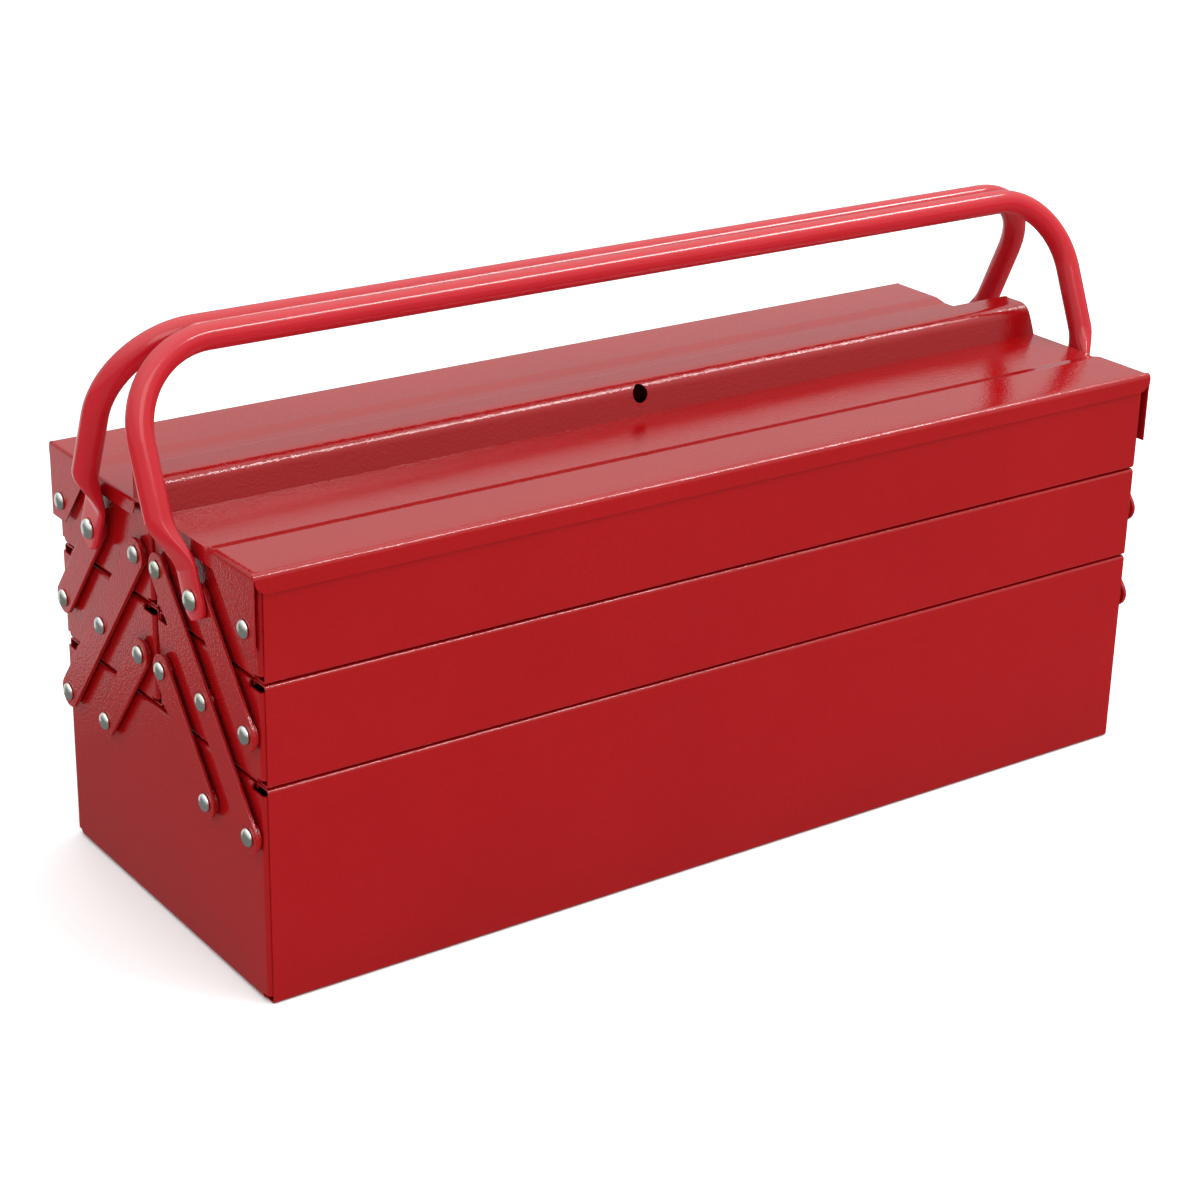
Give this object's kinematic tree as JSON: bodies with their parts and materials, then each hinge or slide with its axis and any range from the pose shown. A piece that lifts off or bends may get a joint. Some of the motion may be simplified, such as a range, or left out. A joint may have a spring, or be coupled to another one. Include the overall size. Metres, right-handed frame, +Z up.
{
  "type": "cantilever toolbox with trays",
  "caption": "Folded steel toolbox whose trays spread in steps on riveted arms, with hinged lids and bent tube handles.",
  "frame": {"origin": "middle of the underside of the base, where the toolbox stands", "axes": "+X along the length, +Y from the front to the rear, +Z up"},
  "size_m": [0.5706, 0.2044, 0.2926],
  "materials": {
    "red_paint": "deep red gloss enamel with a fine orange peel",
    "handle_paint": "brighter red gloss enamel on steel tube",
    "zinc_steel": "bright zinc-plated domed rivet heads"
  },
  "bodies": {
    "base": {"base_channel": "red_paint", "base_left_panel": "red_paint", "base_right_panel": "red_paint", "front_base_long_arm_rivets": "zinc_steel", "front_base_lower_link_rivets": "zinc_steel", "rear_base_long_arm_rivets": "zinc_steel", "rear_base_lower_link_rivets": "zinc_steel"},
    "front_long_arms": {"front_long_arm_left": "red_paint", "front_long_arm_right": "red_paint"},
    "front_lower_links": {"front_lower_link_left": "red_paint", "front_lower_link_right": "red_paint"},
    "front_upper_links": {"front_upper_link_left": "red_paint", "front_upper_link_right": "red_paint"},
    "front_mid_tray": {"front_mid_tray_channel": "red_paint", "front_mid_tray_left_panel": "red_paint", "front_mid_tray_right_panel": "red_paint", "front_mid_tray_upper_link_rivets": "zinc_steel", "front_mid_tray_long_arm_rivets": "zinc_steel", "front_mid_tray_lower_link_rivets": "zinc_steel"},
    "front_top_tray": {"front_top_tray_channel": "red_paint", "front_top_tray_left_panel": "red_paint", "front_top_tray_right_panel": "red_paint", "front_top_tray_lid_rivets": "zinc_steel", "front_top_tray_handle_rivets": "zinc_steel", "front_top_tray_long_arm_rivets": "zinc_steel"},
    "front_lid": {"front_lid": "red_paint", "front_lid_ridge": "red_paint"},
    "front_handle": {"front_handle_bar": "handle_paint", "front_handle_left_bend": "handle_paint", "front_handle_left_leg": "handle_paint", "front_handle_right_bend": "handle_paint", "front_handle_right_leg": "handle_paint"},
    "rear_long_arms": {"rear_long_arm_left": "red_paint", "rear_long_arm_right": "red_paint"},
    "rear_lower_links": {"rear_lower_link_left": "red_paint", "rear_lower_link_right": "red_paint"},
    "rear_upper_links": {"rear_upper_link_left": "red_paint", "rear_upper_link_right": "red_paint"},
    "rear_mid_tray": {"rear_mid_tray_channel": "red_paint", "rear_mid_tray_left_panel": "red_paint", "rear_mid_tray_right_panel": "red_paint", "rear_mid_tray_upper_link_rivets": "zinc_steel", "rear_mid_tray_long_arm_rivets": "zinc_steel", "rear_mid_tray_lower_link_rivets": "zinc_steel"},
    "rear_top_tray": {"rear_top_tray_channel": "red_paint", "rear_top_tray_left_panel": "red_paint", "rear_top_tray_right_panel": "red_paint", "rear_top_tray_lid_rivets": "zinc_steel", "rear_top_tray_handle_rivets": "zinc_steel", "rear_top_tray_long_arm_rivets": "zinc_steel"},
    "rear_lid": {"rear_lid": "red_paint"},
    "rear_handle": {"rear_handle_bar": "handle_paint", "rear_handle_left_bend": "handle_paint", "rear_handle_left_leg": "handle_paint", "rear_handle_right_bend": "handle_paint", "rear_handle_right_leg": "handle_paint"}
  },
  "joints": [
    {"name": "trays_open", "type": "hinge", "parent": "base", "child": "front_long_arms", "pos_m": [0, -0.092, 0.083], "axis": [1, 0, 0], "range_deg": [0, 78]},
    {"name": "front_mid_tray_level", "type": "hinge", "parent": "front_long_arms", "child": "front_mid_tray", "pos_m": [0, -0.0515, 0.133], "axis": [1, 0, 0], "range_deg": [-78, 0]},
    {"name": "front_top_tray_level", "type": "hinge", "parent": "front_long_arms", "child": "front_top_tray", "pos_m": [0, -0.011, 0.183], "axis": [1, 0, 0], "range_deg": [-78, 0]},
    {"name": "front_lower_link_turn", "type": "hinge", "parent": "base", "child": "front_lower_links", "pos_m": [0, -0.0515, 0.083], "axis": [1, 0, 0], "range_deg": [0, 78]},
    {"name": "front_upper_link_turn", "type": "hinge", "parent": "front_mid_tray", "child": "front_upper_links", "pos_m": [0, -0.092, 0.133], "axis": [1, 0, 0], "range_deg": [0, 78]},
    {"name": "front_lid_open", "type": "hinge", "parent": "front_top_tray", "child": "front_lid", "pos_m": [0, -0.092, 0.183], "axis": [1, 0, 0], "range_deg": [0, 118]},
    {"name": "front_handle_fold", "type": "hinge", "parent": "front_top_tray", "child": "front_handle", "pos_m": [0, -0.0515, 0.183], "axis": [1, 0, 0], "range_deg": [0, 165]},
    {"name": "rear_long_arm_turn", "type": "hinge", "parent": "base", "child": "rear_long_arms", "pos_m": [0, 0.092, 0.083], "axis": [-1, 0, 0], "range_deg": [0, 78]},
    {"name": "rear_mid_tray_level", "type": "hinge", "parent": "rear_long_arms", "child": "rear_mid_tray", "pos_m": [0, 0.0515, 0.133], "axis": [-1, 0, 0], "range_deg": [-78, 0]},
    {"name": "rear_top_tray_level", "type": "hinge", "parent": "rear_long_arms", "child": "rear_top_tray", "pos_m": [0, 0.011, 0.183], "axis": [-1, 0, 0], "range_deg": [-78, 0]},
    {"name": "rear_lower_link_turn", "type": "hinge", "parent": "base", "child": "rear_lower_links", "pos_m": [0, 0.0515, 0.083], "axis": [-1, 0, 0], "range_deg": [0, 78]},
    {"name": "rear_upper_link_turn", "type": "hinge", "parent": "rear_mid_tray", "child": "rear_upper_links", "pos_m": [0, 0.092, 0.133], "axis": [-1, 0, 0], "range_deg": [0, 78]},
    {"name": "rear_lid_open", "type": "hinge", "parent": "rear_top_tray", "child": "rear_lid", "pos_m": [0, 0.092, 0.183], "axis": [-1, 0, 0], "range_deg": [0, 118]},
    {"name": "rear_handle_fold", "type": "hinge", "parent": "rear_top_tray", "child": "rear_handle", "pos_m": [0, 0.0515, 0.183], "axis": [-1, 0, 0], "range_deg": [0, 165]}
  ],
  "couplings": [
    {"joint": "front_mid_tray_level", "follows": "trays_open", "ratio": -1},
    {"joint": "front_top_tray_level", "follows": "trays_open", "ratio": -1},
    {"joint": "front_lower_link_turn", "follows": "trays_open", "ratio": 1},
    {"joint": "front_upper_link_turn", "follows": "trays_open", "ratio": 1},
    {"joint": "rear_long_arm_turn", "follows": "trays_open", "ratio": 1},
    {"joint": "rear_mid_tray_level", "follows": "trays_open", "ratio": -1},
    {"joint": "rear_top_tray_level", "follows": "trays_open", "ratio": -1},
    {"joint": "rear_lower_link_turn", "follows": "trays_open", "ratio": 1},
    {"joint": "rear_upper_link_turn", "follows": "trays_open", "ratio": 1}
  ]
}
